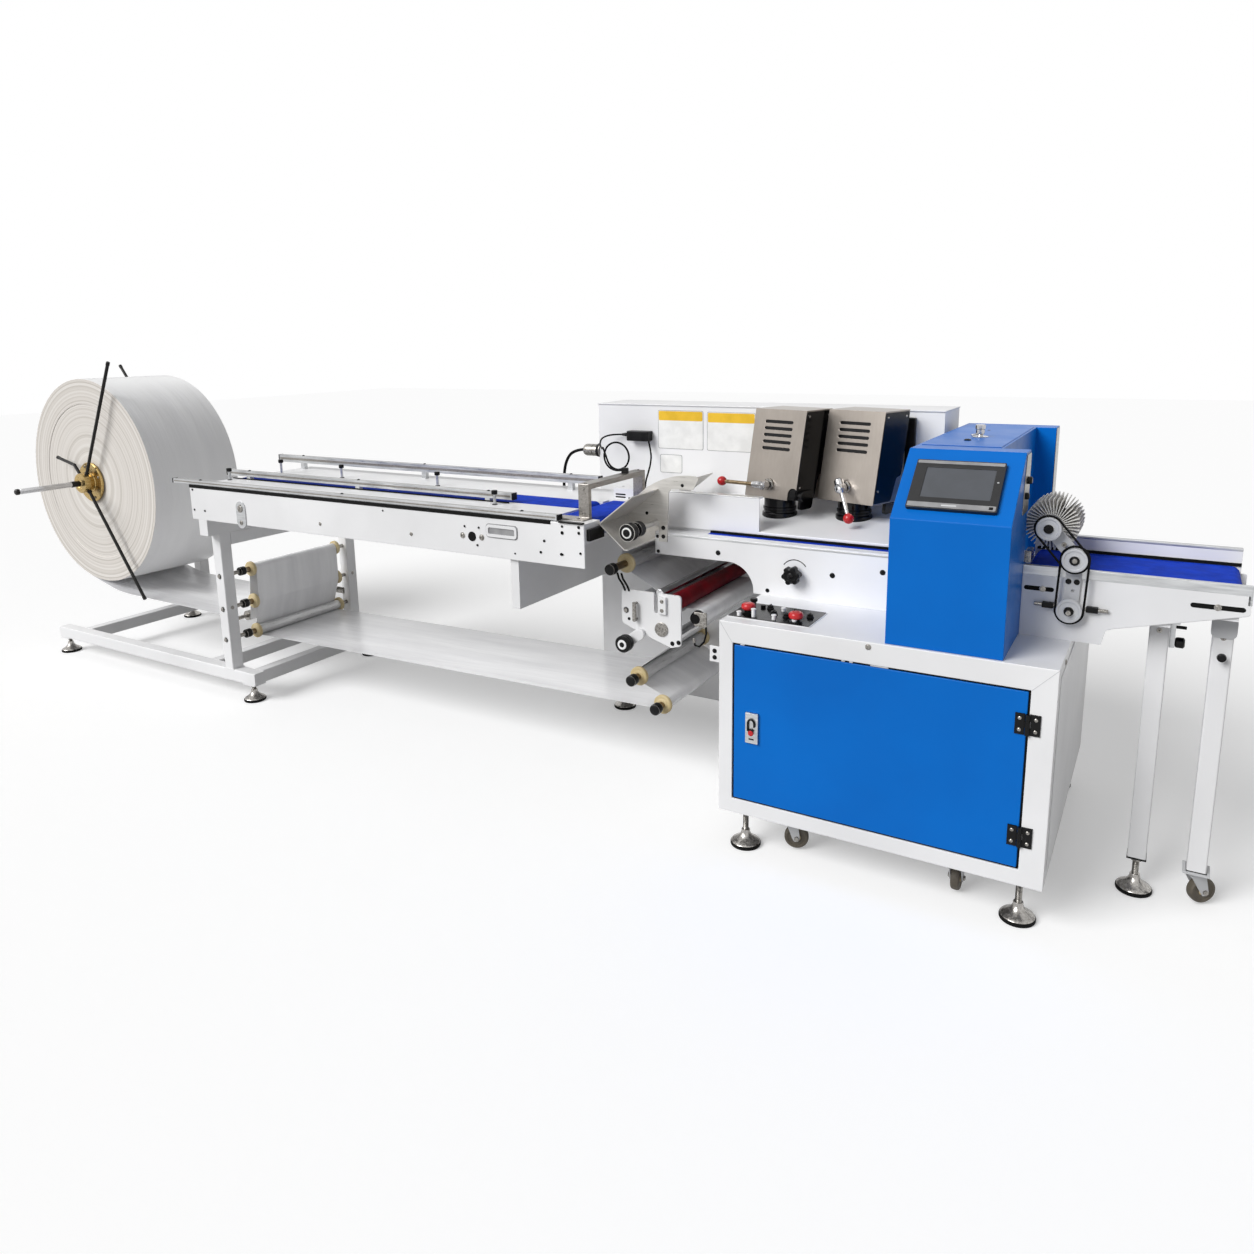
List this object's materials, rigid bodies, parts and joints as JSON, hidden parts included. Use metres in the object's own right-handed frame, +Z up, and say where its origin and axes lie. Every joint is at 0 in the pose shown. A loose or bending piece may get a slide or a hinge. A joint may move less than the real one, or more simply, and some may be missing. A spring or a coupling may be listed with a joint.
{
  "type": "horizontal packing machine",
  "caption": "Horizontal flow packing machine with a film roll on an unwind stand, infeed belt, forming box, sealing heads, blue crimper cover and short outfeed belt.",
  "frame": {"origin": "on the floor under the middle of the machine's length and depth", "axes": "+X along the product's way from the film roll to the outfeed, +Y to the back, +Z up"},
  "size_m": [4.9055, 0.993, 1.3315],
  "materials": {
    "black_plastic": "matte",
    "black_rubber": "matte",
    "blue_belt": "matte",
    "blue_paint": "satin",
    "bristle": "matte",
    "chrome": "polished",
    "cream_plastic": "satin",
    "film": "gloss",
    "red_plastic": "gloss",
    "red_rubber": "matte",
    "steel": "brushed",
    "white_paint": "satin"
  },
  "bodies": {
    "frame": {"base_cabinet": "white_paint", "bed_body": "white_paint", "bed_deck": "white_paint", "bed_front_plate": "white_paint", "brush_arm": "black_plastic", "brush_drive": "black_plastic", "caster_plates": "steel", "control_panel": "black_plastic", "conveyor_belts": "blue_belt", "crimper_front_cover": "blue_paint", "crimper_rear_cover": "blue_paint", "feed_frame": "white_paint", "feed_rollers": "red_rubber", "film_web": "film", "forming_box": "steel", "forming_wing": "steel", "frame_hinge_leaves": "steel", "gauge_lead": "black_rubber", "infeed_bearers": "steel", "infeed_deck": "steel", "infeed_guides": "steel", "infeed_side_plates": "white_paint", "lead_fittings": "black_plastic", "levelling_feet": "steel", "operator_screen": "black_plastic", "outfeed_legs": "steel", "outfeed_sides": "white_paint", "rear_housing": "white_paint", "roller_axles": "steel", "seal_heads": "steel", "sensor_arch": "steel", "sensor_lead": "black_rubber", "supply_lead": "black_rubber", "unwind_cross_rails": "steel", "unwind_long_rails": "steel", "unwind_uprights": "steel"},
    "film_roll": {"film_roll": "film", "roll_shaft": "steel"},
    "stand_top_roller": {"stand_top_roller": "cream_plastic"},
    "stand_middle_roller": {"stand_middle_roller": "cream_plastic"},
    "stand_bottom_roller": {"stand_bottom_roller": "cream_plastic"},
    "lower_guide_roller": {"lower_guide_roller": "cream_plastic"},
    "upper_guide_roller": {"upper_guide_roller": "cream_plastic"},
    "crease_roller": {"crease_roller": "cream_plastic"},
    "door": {"cabinet_door": "blue_paint", "door_fittings": "chrome"},
    "seal_lever_one": {"seal_lever_one": "red_plastic"},
    "seal_lever_two": {"seal_lever_two": "red_plastic"},
    "star_knob": {"star_knob": "black_plastic"},
    "brush": {"brush": "bristle"},
    "front_left_caster_fork": {"front_left_caster_fork": "steel"},
    "front_left_caster_wheel": {"front_left_caster_wheel": "cream_plastic"},
    "front_right_caster_fork": {"front_right_caster_fork": "steel"},
    "front_right_caster_wheel": {"front_right_caster_wheel": "cream_plastic"},
    "back_left_caster_fork": {"back_left_caster_fork": "steel"},
    "back_left_caster_wheel": {"back_left_caster_wheel": "cream_plastic"},
    "back_right_caster_fork": {"back_right_caster_fork": "steel"},
    "back_right_caster_wheel": {"back_right_caster_wheel": "cream_plastic"},
    "outfeed_caster_fork": {"outfeed_caster_fork": "steel"},
    "outfeed_caster_wheel": {"outfeed_caster_wheel": "cream_plastic"}
  },
  "joints": [
    {"name": "film_roll_turn", "type": "hinge", "parent": "frame", "child": "film_roll", "pos_m": [-1.98425, 0.0485, 0.789], "axis": [0, 1, 0], "continuous": true},
    {"name": "stand_top_roller_turn", "type": "hinge", "parent": "frame", "child": "stand_top_roller", "pos_m": [-0.91675, 0.0485, 0.5], "axis": [0, 1, 0], "continuous": true},
    {"name": "stand_middle_roller_turn", "type": "hinge", "parent": "frame", "child": "stand_middle_roller", "pos_m": [-0.91675, 0.0485, 0.366], "axis": [0, 1, 0], "continuous": true},
    {"name": "stand_bottom_roller_turn", "type": "hinge", "parent": "frame", "child": "stand_bottom_roller", "pos_m": [-0.91675, 0.0485, 0.24], "axis": [0, 1, 0], "continuous": true},
    {"name": "lower_guide_roller_turn", "type": "hinge", "parent": "frame", "child": "lower_guide_roller", "pos_m": [0.98025, 0.0485, 0.28], "axis": [0, 1, 0], "continuous": true},
    {"name": "upper_guide_roller_turn", "type": "hinge", "parent": "frame", "child": "upper_guide_roller", "pos_m": [0.89725, 0.0485, 0.358], "axis": [0, 1, 0], "continuous": true},
    {"name": "crease_roller_turn", "type": "hinge", "parent": "frame", "child": "crease_roller", "pos_m": [0.85725, 0.0485, 0.715], "axis": [0, 1, 0], "continuous": true},
    {"name": "cabinet_door_hinge", "type": "hinge", "parent": "frame", "child": "door", "pos_m": [2.04275, -0.4165, 0.381], "axis": [0, 0, 1], "range_deg": [0, 110]},
    {"name": "seal_lever_one_turn", "type": "hinge", "parent": "frame", "child": "seal_lever_one", "pos_m": [1.218, 0.07829, 0.947], "axis": [0.309, 0.9511, 0], "range_deg": [0, 90]},
    {"name": "seal_lever_two_turn", "type": "hinge", "parent": "frame", "child": "seal_lever_two", "pos_m": [1.44868, 0.10384, 0.949], "axis": [-0.309, -0.9511, 0], "range_deg": [0, 90]},
    {"name": "star_knob_turn", "type": "hinge", "parent": "frame", "child": "star_knob", "pos_m": [1.38125, -0.1515, 0.731], "axis": [0, 1, 0], "range_deg": [-135, 135]},
    {"name": "brush_turn", "type": "hinge", "parent": "frame", "child": "brush", "pos_m": [2.03625, -0.1115, 0.934], "axis": [0, 1, 0], "continuous": true},
    {"name": "front_left_caster_swivel", "type": "hinge", "parent": "frame", "child": "front_left_caster_fork", "pos_m": [1.45225, -0.3155, 0.104], "axis": [0, 0, 1], "continuous": true},
    {"name": "front_left_caster_roll", "type": "hinge", "parent": "front_left_caster_fork", "child": "front_left_caster_wheel", "pos_m": [1.46916, -0.30934, 0.039], "axis": [-0.342, 0.9397, 0], "continuous": true},
    {"name": "front_right_caster_swivel", "type": "hinge", "parent": "frame", "child": "front_right_caster_fork", "pos_m": [1.89225, -0.3195, 0.104], "axis": [0, 0, 1], "continuous": true},
    {"name": "front_right_caster_roll", "type": "hinge", "parent": "front_right_caster_fork", "child": "front_right_caster_wheel", "pos_m": [1.89225, -0.3015, 0.039], "axis": [-1, 0, 0], "continuous": true},
    {"name": "back_left_caster_swivel", "type": "hinge", "parent": "frame", "child": "back_left_caster_fork", "pos_m": [1.45225, 0.4005, 0.104], "axis": [0, 0, 1], "continuous": true},
    {"name": "back_left_caster_roll", "type": "hinge", "parent": "back_left_caster_fork", "child": "back_left_caster_wheel", "pos_m": [1.43846, 0.41207, 0.039], "axis": [-0.6428, -0.766, 0], "continuous": true},
    {"name": "back_right_caster_swivel", "type": "hinge", "parent": "frame", "child": "back_right_caster_fork", "pos_m": [1.89225, 0.4045, 0.104], "axis": [0, 0, 1], "continuous": true},
    {"name": "back_right_caster_roll", "type": "hinge", "parent": "back_right_caster_fork", "child": "back_right_caster_wheel", "pos_m": [1.90125, 0.42009, 0.039], "axis": [-0.866, 0.5, 0], "continuous": true},
    {"name": "outfeed_caster_swivel", "type": "hinge", "parent": "frame", "child": "outfeed_caster_fork", "pos_m": [2.40825, -0.0815, 0.079], "axis": [0, 0, 1], "continuous": true},
    {"name": "outfeed_caster_roll", "type": "hinge", "parent": "outfeed_caster_fork", "child": "outfeed_caster_wheel", "pos_m": [2.42299, -0.07118, 0.039], "axis": [-0.5736, 0.8192, 0], "continuous": true}
  ]
}
